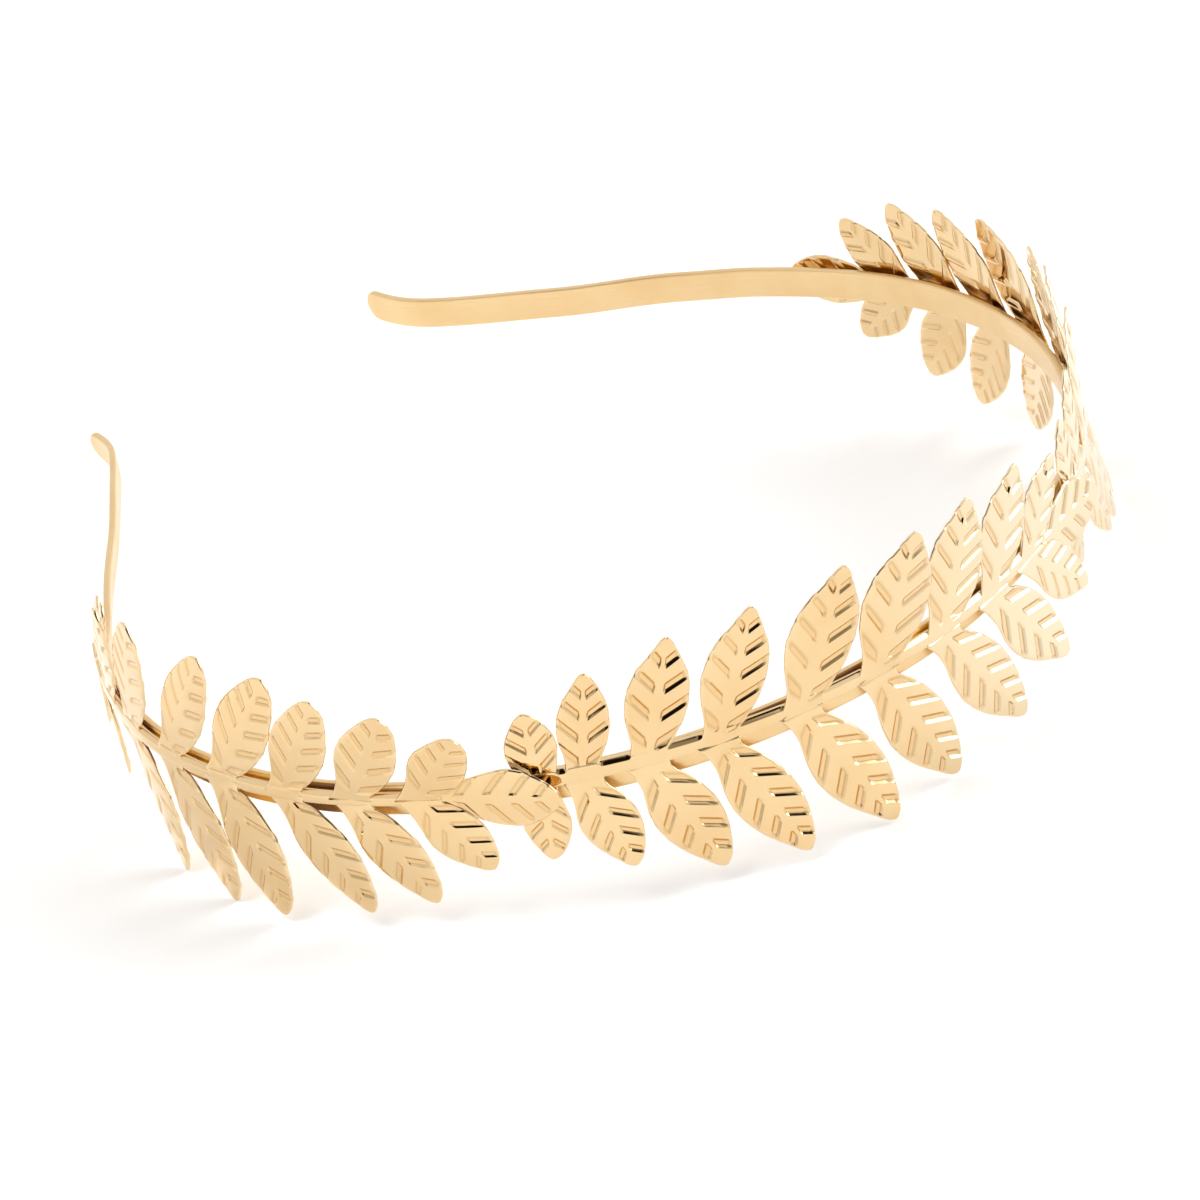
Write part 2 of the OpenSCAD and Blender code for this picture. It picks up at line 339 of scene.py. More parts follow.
def leaf_rows(veins):
    """Places of the rows along the middle of a leaf, and the depth of the veins at each."""
    centres = VEIN_CENTRES[veins]
    period = (centres[-1] - centres[0]) / (veins - 1)
    steps, depths = zip(*GROOVE)
    rows = set(FOOT_ROWS + TIP_ROWS)
    for centre in centres:
        rows.update(round(centre + side * step * period, ROW_DIGITS) for step in steps for side in (-1, 1))
        rows.add(round(centre + period / 2, ROW_DIGITS))
    rows = np.array(sorted(r for r in rows if 0 <= r <= 1))
    away = np.min(np.abs(rows[:, None] - np.array(centres)[None, :]), axis=1) / period
    return rows, np.interp(away, steps, depths)


print("A large leaf has", len(leaf_rows(MOST_VEINS)[0]), "rows of", len(across), "points on each face")

# %% Plan of a leaf
VEIN_ANGLE = 50
# The rows go straight across at the foot and have their full slant from this share of the length on
FULL_SLANT = 0.12
HALVINGS = 30
# A foot flares to meet its stem: how much wider it gets, and from how far up the leaf
NECK_FLARE = 1.5
NECK_REACH = 3.4
# Where along a leaf the nip of its tip begins and is full
NIP_FROM, NIP_FULL = 0.74, 0.93


def edge_place(rows, length, half_width, edge):
    """Where the slanting row from each place on the middle rib meets the edge: lengths and half widths."""
    run = half_width / math.tan(math.radians(VEIN_ANGLE)) / length
    slant = np.clip(rows / FULL_SLANT, 0, 1)
    low, high = rows.copy(), np.ones_like(rows)
    for _ in range(HALVINGS):
        middle = (low + high) / 2
        beyond = middle - rows - slant * run * np.interp(middle, *edge) > 0
        high = np.where(beyond, middle, high)
        low = np.where(beyond, low, middle)
    return low, half_width * np.interp(low, *edge)


def leaf_plan(rows, length, width, rear, front, slope, nip):
    """X and Y of the grid of a leaf that lies along X. Slope is how much its foot slants to meet the stem."""
    rear_at, rear_half = edge_place(rows, length, width / 2, rear)
    front_at, front_half = edge_place(rows, length, width / 2, front)
    behind = (across >= 0)[None, :]
    reach = np.where(behind, rear_at[:, None], front_at[:, None])
    wide = np.where(behind, rear_half[:, None], front_half[:, None])
    near = np.clip(1 - length * reach / NECK_REACH, 0, 1)
    wide = wide + (NECK_FLARE if slope is not None else 0) * near**2
    wide = wide * (1 - nip * np.clip((reach - NIP_FROM) / (NIP_FULL - NIP_FROM), 0, 1))
    x = length * (rows[:, None] + (reach - rows[:, None]) * np.abs(across)[None, :])
    y = across[None, :] * wide
    return x - y * (slope or 0) * near, y


flat_leaf = leaf_plan(leaf_rows(MOST_VEINS)[0], LEAF_LEN, LEAF_W, rear_edge, front_edge, 0, 0)
print("The largest leaf measures", [round(float(np.ptp(side)), 1) for side in flat_leaf], "mm")

# %% A leaf pressed from sheet
# Thickness of the sheet, and how far the edges of a leaf are bent back
LEAF_T = 0.42
LEAF_CAMBER = 0.35
# Height of a leaf's face over the strip at its foot and beyond, and how far up the leaf it rises
FACE_AT_FOOT = 0.85
FACE_BEYOND = 0.98
FACE_RISE = (0.9, 3.0)
RIM_SHINE_FROM = 0.9


def sheet_faces(rows, lines):
    """Faces of a closed sheet: a grid of points on its front, the same grid on its back, and the rim."""
    total, faces = rows * lines, []
    for r in range(rows - 1):
        for c in range(lines - 1):
            a = r * lines + c
            faces.append((a, a + lines, a + lines + 1, a + 1))
            faces.append((total + a, total + a + 1, total + a + lines + 1, total + a + lines))
        for a in (r * lines, r * lines + lines - 1):
            faces.append((a, a + lines, total + a + lines, total + a))
    for c in range(lines - 1):
        for a in (c, (rows - 1) * lines + c):
            faces.append((a, a + 1, total + a + 1, total + a))
    return faces


def leaf_sheet(steep, curl, length, width, veins, *outline):
    """Points, faces and marks of one leaf along X. Curl is how far its tip bends out, in millimetres."""
    rows, depths = leaf_rows(veins)
    x, y = leaf_plan(rows, length, width, *outline)
    size = np.abs(across)[None, :]
    press = depths[:, None] * np.interp(size, *zip(*VEIN_RUN))
    depth = steep * length * (VEIN_CENTRES[veins][1] - VEIN_CENTRES[veins][0])
    rise = eased(np.clip((x - FACE_RISE[0]) / (FACE_RISE[1] - FACE_RISE[0]), 0, 1))
    top = FACE_AT_FOOT + (FACE_BEYOND - FACE_AT_FOOT) * rise
    bend = curl * (x / length) ** 2 - LEAF_CAMBER * (x / length) * (y / (width / 2)) ** 2
    roll = np.maximum(np.interp(size, *zip(*RIM_ROLL)), np.interp(rows, *zip(*TIP_ROLL))[:, None])
    front = top + bend - depth * press - roll
    back = top + bend - depth * press - LEAF_T + roll
    points = np.concatenate([np.stack([x, y, z], axis=-1).reshape(-1, 3) for z in (front, back)])
    rim = np.broadcast_to(np.clip((size - RIM_SHINE_FROM) / (1 - RIM_SHINE_FROM), 0, 1), x.shape)
    mark = np.stack([press, rim, np.zeros_like(x)], axis=-1).reshape(-1, 3)
    return points, sheet_faces(len(rows), len(across)), np.concatenate([mark, mark])


print("A large leaf has", len(sheet_faces(len(leaf_rows(MOST_VEINS)[0]), len(across))), "faces")

# %% [markdown]
# ## One die for three sprays
#
# All three sprays come from one die, so they share one list of leaves: nine pairs that grow and shrink along
# the stem, and one leaf at its end. The sprays follow one another round the strip, and each end leaf laps
# over the foot of the next spray.

# %% The sprays and their pairs of leaves
SPRAYS = ["left_spray", "front_spray", "right_spray"]
SPRAY_LEN = 91.5
# How far each spray laps over the next, and how far to the left of the front their row sits
SPRAY_LAP = 2
SPRAY_SHIFT = 2.75
SEAT_GAP = 0.1
# Width of a leaf's foot as a share of the leaf's width
FOOT_SHARE = 0.28
# Place on the spray, length, width, angle to the stem in degrees, veins on each side
PAIRS = [
    (0.000, 0.50, 0.70, 85, 3), (0.058, 0.70, 0.76, 75, 4), (0.146, 0.88, 0.88, 70, 4),
    (0.244, 0.97, 0.94, 68, 5), (0.362, 1.00, 0.98, 64, 5), (0.482, 0.95, 1.00, 63, 5),
    (0.600, 0.89, 0.96, 61, 5), (0.708, 0.80, 0.88, 57, 4), (0.809, 0.63, 0.76, 50, 4),
]
END_PLACE = 0.84
seat_z = STRIP_T / 2 + SEAT_GAP
spray_pitch = SPRAY_LEN - SPRAY_LAP
first_foot = -(2 * spray_pitch + SPRAY_LEN) / 2 - SPRAY_SHIFT


def spray_foot(n):
    """Where on the strip the foot of a spray is."""
    return first_foot + n * spray_pitch


print("The sprays start at", [spray_foot(n) for n in range(len(SPRAYS))], "mm along the strip")

# %% [markdown]
# ## Stems
#
# The stem is part of the same stamping, a little wider at the foot of the spray than near the end leaf. Its
# top is flat. Between two leaves the press leaves a wide bevel along its upper edge, which mirrors the dark
# side of the room, and at a leaf the bevel closes up, because stem and leaf are one sheet there. The lower
# edge stays sharp. The section is carried along the bent line like the strip's, in short steps so that the
# bevel's ends come out crisp.

# %% Section of a stem
STEM_TOP = 1.08
# Share of the half width that is flat and share of the height of the side, between leaves and at a leaf
UPPER_BEVEL = ((0.42, 0.60), (0.90, 0.90))
# Foot of each side: share of the half width at the seat, share of the height where it is full
STEM_TUCK = 0.94
STEM_SKIRT = 0.06
# Roundings in millimetres, as (sideways, down) from each corner
SIDE_ROUND = (0.03, 0.04)
BEVEL_ROUND = [(0.05, 0.045), (-0.02, 0.01)]
SHARP_ROUND = [(0, 0.05), (-0.012, 0.015), (-0.04, 0)]
# How far ahead of its place a leaf's foot is centred, how far from a foot's edge the bevel begins to close,
# and over what length it closes
LEAF_SET = 0.4
LEAF_WEB = 1.3
WEB_FADE = 0.5


def stem_section(half, height, at_leaf):
    """Half width and height to a closed ring of (up, out) points. The bevel is narrow where at_leaf is 1."""
    top = STEM_TOP * height
    flat, side = (a + (b - a) * at_leaf for a, b in zip(*UPPER_BEVEL))
    flat, side = half * flat, top * side
    foot = [(half * STEM_TUCK, 0), (half, STEM_SKIRT * height)]
    upper = [*foot, (half, side - SIDE_ROUND[1]), (half - SIDE_ROUND[0], side)]
    upper += [(flat + over, top - down) for over, down in BEVEL_ROUND] + [(flat / 2, top)]
    lower = [*foot, *[(half + over, top - down) for over, down in SHARP_ROUND], (half / 2, top)]
    return [(0, 0), *upper, (0, top), *[(-up, out) for up, out in reversed(lower)]]


def near_leaf(n, s):
    """1 where a leaf of the upper row leaves the stem and 0 between leaves."""
    from_foot = s - spray_foot(n) - LEAF_SET
    gap = min(
        abs(from_foot - where * SPRAY_LEN) - LEAF_W * width * FOOT_SHARE / 2
        for where, _, width, _, _ in PAIRS
    )
    return eased(min(1, max(0, (LEAF_WEB - gap) / WEB_FADE)))


print("A stem's section has", len(stem_section(1, 1, 0)), "points")

# %% Shape of a stem
STEM_FOOT = 2
STEM_FOOT_HALF = 1.1
STEM_END_HALF = 0.8
# How far each stem sits above the strip's middle
STEM_RAISE = [0, 0.8, 0.3]
# The rounded nose at the foot, where it is cut off, and its least width and height as shares
STEM_NOSE = 1.1
NOSE_STEPS = 6
NOSE_CUT = 0.01
NOSE_SLIM = 0.1
NOSE_LOW = 0.55
# The tail that runs out under the end leaf, and its least width and height as shares
STEM_TAIL = 3.5
TAIL_SLIM = 0.25
TAIL_LOW = 0.6
# Length of a step along the stem
STEM_GAP = 0.35


def stem_size(begin, end, s):
    """Half width of a stem at s, and the share of its full height."""
    share = (s - begin) / (end - begin)
    to_nose, to_tail = min(1, (s - begin) / STEM_NOSE), min(1, (end - s) / STEM_TAIL)
    bow = 1 - (1 - to_nose) ** 2
    slim = max(math.sqrt(max(bow, 0)), NOSE_SLIM) * (TAIL_SLIM + (1 - TAIL_SLIM) * to_tail)
    height = (NOSE_LOW + (1 - NOSE_LOW) * math.sqrt(max(bow, 0))) * (TAIL_LOW + (1 - TAIL_LOW) * to_tail)
    return (STEM_FOOT_HALF + (STEM_END_HALF - STEM_FOOT_HALF) * share) * slim, height


def stem_mesh(n):
    """Points, faces and marks of the stem of one spray. It has no veins and no rim, so its marks are 0."""
    begin, end = spray_foot(n) - STEM_FOOT, spray_foot(n) + END_PLACE * SPRAY_LEN + STEM_TAIL
    nose = [STEM_NOSE * (1 - math.cos(math.pi / 2 * k / NOSE_STEPS)) for k in range(1, NOSE_STEPS + 1)]
    body = np.arange(begin + nose[-1] + STEM_GAP, end, STEM_GAP)
    places = [begin + NOSE_CUT, *(begin + step for step in nose), *body, end]
    points = []
    for s in places:
        half, height = stem_size(begin, end, s)
        axes = on_strip(s)
        for up, out in stem_section(half, height, near_leaf(n, s)):
            points.append(axes @ Vector((0, up + STEM_RAISE[n], seat_z + out)))
    return points, ring_faces(len(places), len(points) // len(places)), [(0, 0, 0)] * len(points)


print("A stem has", len(stem_mesh(0)[0]), "points")

# %% [markdown]
# ## How each leaf was bent
#
# Nine pairs from one die are alike only in the box. Soldering, hands and wear have leaned, turned and curled
# every leaf a little, and the crown in the photograph shows how. Chance alone would give a crown that looks
# used but not this one, so a table says how each leaf lies, and a seeded draw adds the last bit of curl. The
# lean, turn and curl are put on a leaf in its own axes, before it is set on the stem.

# %% Bends of each spray
# For each spray: the lean of all its leaves in degrees, and how steep the walls of its veins are
LEANS = [2, 5.5, 1]
VEIN_STEEP = [0.058, 0.09, 0.065]
# How much narrower fingers have nipped the tips of the upper (1) or lower (-1) row; below 0 is blunter. The
# smallest leaves, at the foot of the spray, keep their tips
TIP_NIP = {("left_spray", 1): -0.14, ("front_spray", 1): 0.26, ("front_spray", -1): 0.08}
NIP_PAIRS = 2
CHANCE_CURL = 0.15
print("The front spray's upper tips are nipped by", TIP_NIP["front_spray", 1], "of their width")

# %% Bends of each leaf
# Pair by pair along the upper side (1) and the lower side (-1), and the end leaf (0): turn toward the stem's
# end, lean, share of length, share of width, curl at the tip
BENT = {
    "left_spray": {
        1: [
            (2, -14, 0.88, 1.02, -0.7), (4, -16, 0.86, 1.00, 0.0), (3, -4, 1.01, 0.98, 0.0),
            (4, -3, 1.05, 1.16, -0.4), (9, -7, 1.04, 0.99, -0.5), (9, -7, 1.03, 0.98, -0.8),
            (3, 1, 0.97, 0.93, -0.3), (0, 7, 1.01, 1.00, 0.0), (-2, 8, 1.00, 1.05, 0.4),
        ],
        -1: [
            (0, 3, 1.00, 0.99, -0.1), (0, -2, 1.01, 0.98, -0.1), (0, -12, 1.00, 0.98, -0.2),
            (3, -3, 1.02, 1.12, 0.8), (2, 0, 1.02, 1.16, 0.0), (-1, 3, 1.01, 1.12, 0.3),
            (4, 0, 1.05, 0.96, 0.2), (-3, 0, 1.07, 1.00, -0.9), (-3, 4, 1.03, 1.10, -1.1),
        ],
        0: [(-3, 0, 0.99, 1.02, -0.3)],
    },
    "front_spray": {
        1: [
            (-5, -6, 1.02, 1.06, -0.2), (-2, -8, 1.03, 0.97, 0.1), (0, -4, 1.00, 1.00, 0.1),
            (2, -2, 0.98, 0.98, 0.0), (0, 0, 1.02, 1.06, 0.8), (0, 0, 1.01, 1.15, 0.5),
            (0, -3, 0.98, 1.13, -0.4), (-3, -3, 1.05, 1.16, 0.4), (-2, -3, 1.07, 1.14, 0.7),
        ],
        -1: [
            (-7, 2, 1.00, 0.96, -0.4), (3, 2, 0.94, 1.08, 0.2), (2, -1, 0.97, 1.04, 0.2),
            (2, 4, 0.95, 0.96, 0.4), (-2, 0, 0.98, 0.98, 1.1), (-4, -1, 1.00, 0.98, -0.3),
            (0, 0, 1.03, 1.02, 0.0), (0, 3, 0.98, 1.12, 0.8), (6, 3, 1.03, 1.12, 0.4),
        ],
        0: [(-2, 1, 1.00, 1.05, -0.1)],
    },
    "right_spray": {
        1: [
            (0, 0, 1.06, 1.04, 0.0), (-2, 0, 1.00, 1.00, 0.0), (3, 0, 1.02, 1.10, -0.2),
            (-1, -3, 1.02, 1.02, -0.4), (12, 0, 0.92, 1.14, -0.4), (18, 4, 1.04, 1.16, -1.5),
            (6, -3, 0.98, 1.16, -0.6), (4, 0, 1.03, 1.11, -0.4), (-1, -1, 1.06, 1.12, -0.8),
        ],
        -1: [
            (-3, -3, 1.00, 1.00, -0.1), (12, 5, 0.92, 0.97, 0.0), (8, 3, 0.96, 1.05, -0.1),
            (6, 3, 0.98, 1.05, 0.2), (-1, 3, 0.99, 1.04, -0.2), (4, 0, 1.03, 1.01, 0.0),
            (3, -3, 1.03, 1.00, 0.0), (0, 0, 0.97, 1.06, -0.3), (9, 6, 1.03, 1.00, -0.8),
        ],
        0: [(3, -4, 1.05, 0.93, -0.4)],
    },
}
print("The table bends", sum(len(row) for rows in BENT.values() for row in rows.values()), "leaves")

# %% Set the leaves on their stem
# Lift of a leaf over its seat. One that leans is lifted further, so that the far corner of its foot clears
# the strip too. The skew is how much wider the foot is on that side
LEAF_LIFT = 0.12
LEAF_SKEW = 0.08
# The end leaf: share of the greatest width, how far it reaches past the spray, lean and veins on each side
END_WIDTH = 0.9
END_REACH = 1.4
END_LEAN = 3
END_VEINS = 4


def leaf_axes(n, pair, side, turn, lean):
    """Axes of one leaf of a pair, with X from the stem to its tip."""
    where, _, width, angle, _ = PAIRS[pair]
    angle, lean = angle - turn, LEANS[n] + lean
    foot = LEAF_W * width * (1 + LEAF_SKEW) * FOOT_SHARE / 2
    lift = LEAF_LIFT + foot * math.cos(math.radians(angle)) * max(0, math.sin(math.radians(lean)))
    axes = on_strip(spray_foot(n) + where * SPRAY_LEN)
    axes = axes @ Matrix.Translation((0, 0, seat_z)) @ Matrix.Scale(side, 4, (0, 1, 0))
    return axes @ Matrix.Translation((0, 0, lift)) @ turned("X", lean) @ turned("Z", angle)


def end_leaf_axes(n, turn, lean):
    """Axes of the leaf at the end of a spray, with X ahead along the strip."""
    axes = on_strip(spray_foot(n) + END_PLACE * SPRAY_LEN)
    axes = axes @ Matrix.Translation((0, 0, seat_z + LEAF_LIFT))
    return axes @ turned("Y", -END_LEAN - lean) @ turned("Z", turn)


def spray_leaves(n, name):
    """Axes, curl and shape of each leaf of a spray: the upper row, the lower row and the end leaf."""
    for side in (1, -1):
        for pair, (turn, lean, longer, wider, curl) in enumerate(BENT[name][side]):
            _, length, width, angle, veins = PAIRS[pair]
            sizes = LEAF_LEN * length * longer, LEAF_W * width * wider, veins
            slope = 1 / math.tan(math.radians(angle - turn))
            nip = TIP_NIP.get((name, side), 0) * min(1, pair / NIP_PAIRS)
            yield leaf_axes(n, pair, side, turn, lean), curl, (*sizes, rear_edge, front_edge, slope, nip)
    turn, lean, longer, wider, curl = BENT[name][0][0]
    sizes = ((1 - END_PLACE) * SPRAY_LEN + END_REACH) * longer, LEAF_W * END_WIDTH * wider, END_VEINS
    yield end_leaf_axes(n, turn, lean), curl, (*sizes, end_edge, end_edge, None, 0)


print("A spray has", len(list(spray_leaves(0, SPRAYS[0]))), "leaves")

# %% Stamp the sprays
def spray_mesh(n, name):
    """One spray: its stem and all its leaves in one mesh, as they are one sheet on the real crown."""
    points, faces, marks = stem_mesh(n)
    for axes, curl, shape in spray_leaves(n, name):
        curl = curl + hand.uniform(-CHANCE_CURL, CHANCE_CURL)
        leaf, leaf_faces, leaf_marks = leaf_sheet(VEIN_STEEP[n], curl, *shape)
        first = len(points)
        points.extend(axes @ Vector(p) for p in leaf)
        faces.extend(tuple(first + i for i in face) for face in leaf_faces)
        marks.extend(tuple(m) for m in leaf_marks)
    return metal_piece(name + "_stamping", points, faces, "stamp", marks)


sprays = {name: spray_mesh(n, name) for n, name in enumerate(SPRAYS)}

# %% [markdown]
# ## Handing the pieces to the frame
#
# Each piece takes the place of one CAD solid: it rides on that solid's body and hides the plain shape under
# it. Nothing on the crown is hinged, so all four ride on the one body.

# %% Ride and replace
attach(strip, "root")
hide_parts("strip")
for node, spray in sprays.items():
    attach(spray, "root")
    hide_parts(node)
print("Pieces:", strip.name, *[s.name for s in sprays.values()])

# %% [markdown]
# ## Writing finishes as sums
#
# A finish is a web of shader nodes. Written out one node at a time it is long and hard to read, so one small
# class wraps the output of a node and lets it be added and multiplied like a number. Each sum adds the Math
# node that it stands for, and any other node comes from the class's one method.

# %% Shader maths
class Wire:
    """The output of a shader node. Adding or scaling it adds a Math node to its tree."""

    def __init__(self, tree, socket=None):
        self.tree, self.socket = tree, socket

    def node(self, kind, settings=None, sockets=None, out=0):
        """Adds a node: its kind, settings, values or wires of its sockets, and which output is used."""
        made = self.tree.nodes.new(kind)
        for name, value in (settings or {}).items():
            setattr(made, name, value)
        for name, value in (sockets or {}).items():
            if isinstance(value, Wire):
                self.tree.links.new(value.socket, made.inputs[name])
            else:
                made.inputs[name].default_value = value
        return Wire(self.tree, made.outputs[out] if len(made.outputs) else None)

    def also(self, out):
        """Another output of this wire's node."""
        return Wire(self.tree, self.socket.node.outputs[out])

    def sum(self, operation, first, second):
        return self.node("ShaderNodeMath", {"operation": operation}, {0: first, 1: second})

    def __add__(self, other):
        return self.sum("ADD", self, other)

    def __mul__(self, other):
        return self.sum("MULTIPLY", self, other)

    def __sub__(self, other):
        return self.sum("SUBTRACT", self, other)

    def __rsub__(self, other):
        return self.sum("SUBTRACT", other, self)

    def __or__(self, other):
        return self.sum("MAXIMUM", self, other)

    __radd__, __rmul__ = __add__, __mul__

    def between(self, low, high):
        """0 below low, 1 above high, and a soft step between."""
        settings = {"interpolation_type": "SMOOTHSTEP"}
        return self.node("ShaderNodeMapRange", settings, {"Value": self, "From Min": low, "From Max": high})

    def blend(self, first, second):
        """A colour that goes from the first to the second as this value goes from 0 to 1."""
        settings = {"data_type": "RGBA", "clamp_factor": True}
        return self.node("ShaderNodeMix", settings, {0: self, 6: first, 7: second}, out=2)


print("Sums that a wire can do: +, -, * and | for the greater of two")

# %% A finish to start from
def finish_of(name):
    """A new material with an empty tree, as (material, wire to start from)."""
    material = bpy.data.materials.new(name)
    material.use_nodes = True
    material.node_tree.nodes.clear()
    return material, Wire(material.node_tree)


print("Materials so far:", [m.name for m in bpy.data.materials])

# %% [markdown]
# ## Gilt leaves
#
# The stamping is brass with a pale gold plating, polished almost to a mirror. Its colour is not even: it
# is painted a shade deeper down in the pressed veins and brown along their lower walls, a painted shade for
# the shade and dark reflections in the grooves, and it is a shade paler and softer where fingers rub the
# rims. Toward the right of the front it is painted paler and cooler, nearer to champagne, a painted
# reflection of the bright light those leaves mirror there. The sheet keeps a faint ripple from the press that
# makes straight reflections swim, and rough patches and fine rubbing marks break up the gloss. The mark on
# each point says how deep in a vein and how near the rim it is, so these colours follow the relief without
# an image.

# %% Colours of the plating
PALE_GOLD = (0.79, 0.58, 0.32, 1)
WARM_GOLD = (0.77, 0.54, 0.28, 1)
# Painted shade: the deeper gold that colours the pressed veins
VEIN_SHADE_GOLD = (0.72, 0.46, 0.20, 1)
RUBBED_GOLD = (0.86, 0.70, 0.46, 1)
# Painted reflection: a paler, champagne gold for the leaves right of the front
PAINTED_PALE_REFLECTION = (0.81, 0.68, 0.48, 1)
# Painted shade: the brown that colours the lower walls of the grooves
WALL_SHADE_BROWN = (0.44, 0.25, 0.09, 1)
print("Pale gold reflects", PALE_GOLD[:3], "of red, green and blue")

# %% Where the leaves are deep, rubbed or paler
# Depth of the press, from none to full: the lower part of a groove's walls, and its floor
WALL_FOOT, GROOVE_FLOOR = (0.45, 0.8), (0.965, 1)
# Metres from the middle: where the painted paler, champagne reflection begins on the right, and where it ends
# at the back
PALE_REFLECTION_RIGHT, PALE_REFLECTION_BACK = (-0.015, 0.03), (-0.045, -0.005)
gilt_leaf, tree = finish_of("gilt_leaf_polish")
stamp = tree.node("ShaderNodeAttribute", {"attribute_name": "stamp"}, out=1)
press = tree.node("ShaderNodeSeparateXYZ", {}, {0: stamp})
rim = press.also(1)
# The lower walls of the grooves, which get a painted brown shade
walls = press.between(*WALL_FOOT) * (1 - press.between(*GROOVE_FLOOR))
place = tree.node("ShaderNodeTexCoord", out=3)
clouds = tree.node("ShaderNodeTexNoise", {}, {"Vector": place, "Scale": 90, "Detail": 3})
rubs = tree.node("ShaderNodeTexNoise", {}, {"Vector": place, "Scale": 1400, "Detail": 2})
ripple = tree.node("ShaderNodeTexNoise", {}, {"Vector": place, "Scale": 160, "Detail": 1})
to_right = tree.node("ShaderNodeSeparateXYZ", {}, {0: place})
# Painted reflection: the leaves right of the front are tinted paler
pale_reflection_mask = to_right.between(*PALE_REFLECTION_RIGHT) * (1 - to_right.also(1).between(*PALE_REFLECTION_BACK))
print("The leaves' marks and noises take", len(gilt_leaf.node_tree.nodes), "nodes")

# %% Finish of the leaves
# Shares of the painted deeper gold in the veins, of the painted brown shade on their walls and of rubbed gold
# on the rims
VEIN_SHADE, WALL_SHADE, RUBBED = 0.4, 0.3, 0.5
POLISH = 0.055
colour = clouds.between(0.35, 0.7).blend(PALE_GOLD, WARM_GOLD)
# Painted reflection: paler, champagne gold toward the right of the front
colour = pale_reflection_mask.blend(colour, PAINTED_PALE_REFLECTION)
# Painted shade: the deeper a vein is pressed, the deeper its gold
colour = (press * VEIN_SHADE).blend(colour, VEIN_SHADE_GOLD)
# Painted shade: the lower walls of the grooves turn brown, for the dark they mirror and the shade in the
# creases
colour = (walls * WALL_SHADE).blend(colour, WALL_SHADE_BROWN)
colour = (rim * RUBBED).blend(colour, RUBBED_GOLD)
rough = POLISH + clouds.between(0.3, 0.8) * 0.03 + rubs.between(0.55, 0.8) * 0.05 + rim * 0.05
height = ripple + rubs * 0.03
bump = tree.node("ShaderNodeBump", {}, {"Strength": 0.12, "Distance": 0.0006, "Height": height})
metal = {"Base Color": colour, "Metallic": 1, "Roughness": rough, "Normal": bump}
tree.node("ShaderNodeOutputMaterial", {}, {"Surface": tree.node("ShaderNodeBsdfPrincipled", {}, metal)})
for spray in sprays.values():
    spray.data.materials.append(gilt_leaf)
print("The leaves' finish has", len(gilt_leaf.node_tree.nodes), "nodes")

# %% [markdown]
# ## The gilt strip
#
# The strip has the same plating over rolled wire, but it was never pressed in a polished die, so it is
# satin. Rolling leaves hair-fine streaks along its length. They are stretched noise laid out along the
# strip's own length, which every point of the mesh carries, so they follow each bend. In the narrow slits
# behind the stems the outer face is painted amber and brown and made less metallic: a painted shade that
# stands in for the shade and the gold-on-gold reflections in those gaps.

# %% Where the strip is streaked and where its slits get painted shade
# Along the strip, from none to full in millimetres, for the painted shade in the slits: where the stems
# begin and end, where the slits on the left end, and where those on the right begin, which show only at the
# upper edge
STEMS_BEGIN, STEMS_END = (-143, -139), (136, 140)
LEFT_SLITS_END, RIGHT_SLITS_BEGIN = (-72, -66), (-44, -38)
# Up and out on its section, also from none to full: the upper edge and the outer face
UPPER_EDGE, OUTER_FACE = (0.9, 1.3), (0.3, 0.45)
STREAK_STRETCH = (0.05, 9, 9)
gilt_strip, tree = finish_of("gilt_strip_satin")
grain = tree.node("ShaderNodeAttribute", {"attribute_name": "grain"}, out=1)
stretched = tree.node("ShaderNodeVectorMath", {"operation": "MULTIPLY"}, {0: grain, 1: STREAK_STRETCH})
streaks = tree.node("ShaderNodeTexNoise", {}, {"Vector": stretched, "Scale": 1, "Detail": 3})
patches = tree.node("ShaderNodeTexNoise", {}, {"Vector": grain, "Scale": 0.12, "Detail": 2})
along = tree.node("ShaderNodeSeparateXYZ", {}, {0: grain})
up, out = along.also(1), along.also(2)
slits = (1 - along.between(*LEFT_SLITS_END)) | (along.between(*RIGHT_SLITS_BEGIN) * up.between(*UPPER_EDGE))
# Painted shade: the outer face in the slits behind the stems
slit_shade = along.between(*STEMS_BEGIN) * (1 - along.between(*STEMS_END)) * out.between(*OUTER_FACE) * slits
print("The strip's marks and noises take", len(gilt_strip.node_tree.nodes), "nodes")

# %% Finish of the strip
STRIP_PALE = (0.80, 0.58, 0.31, 1)
STRIP_WARM = (0.77, 0.54, 0.27, 1)
# Painted shade for the slits behind the stems, amber and brown
SLIT_SHADE_AMBER = (0.82, 0.42, 0.05, 1)
SLIT_SHADE_BROWN = (0.20, 0.08, 0.015, 1)
SATIN = 0.26
# Share of rubbed gold on the streaks, and how much less metallic and less rough the painted slit shade is
STREAKED, SHADE_LESS_METAL, SHADE_LESS_ROUGH = 0.35, 0.75, 0.14
colour = patches.between(0.35, 0.7).blend(STRIP_PALE, STRIP_WARM)
colour = (streaks.between(0.5, 0.8) * STREAKED).blend(colour, RUBBED_GOLD)
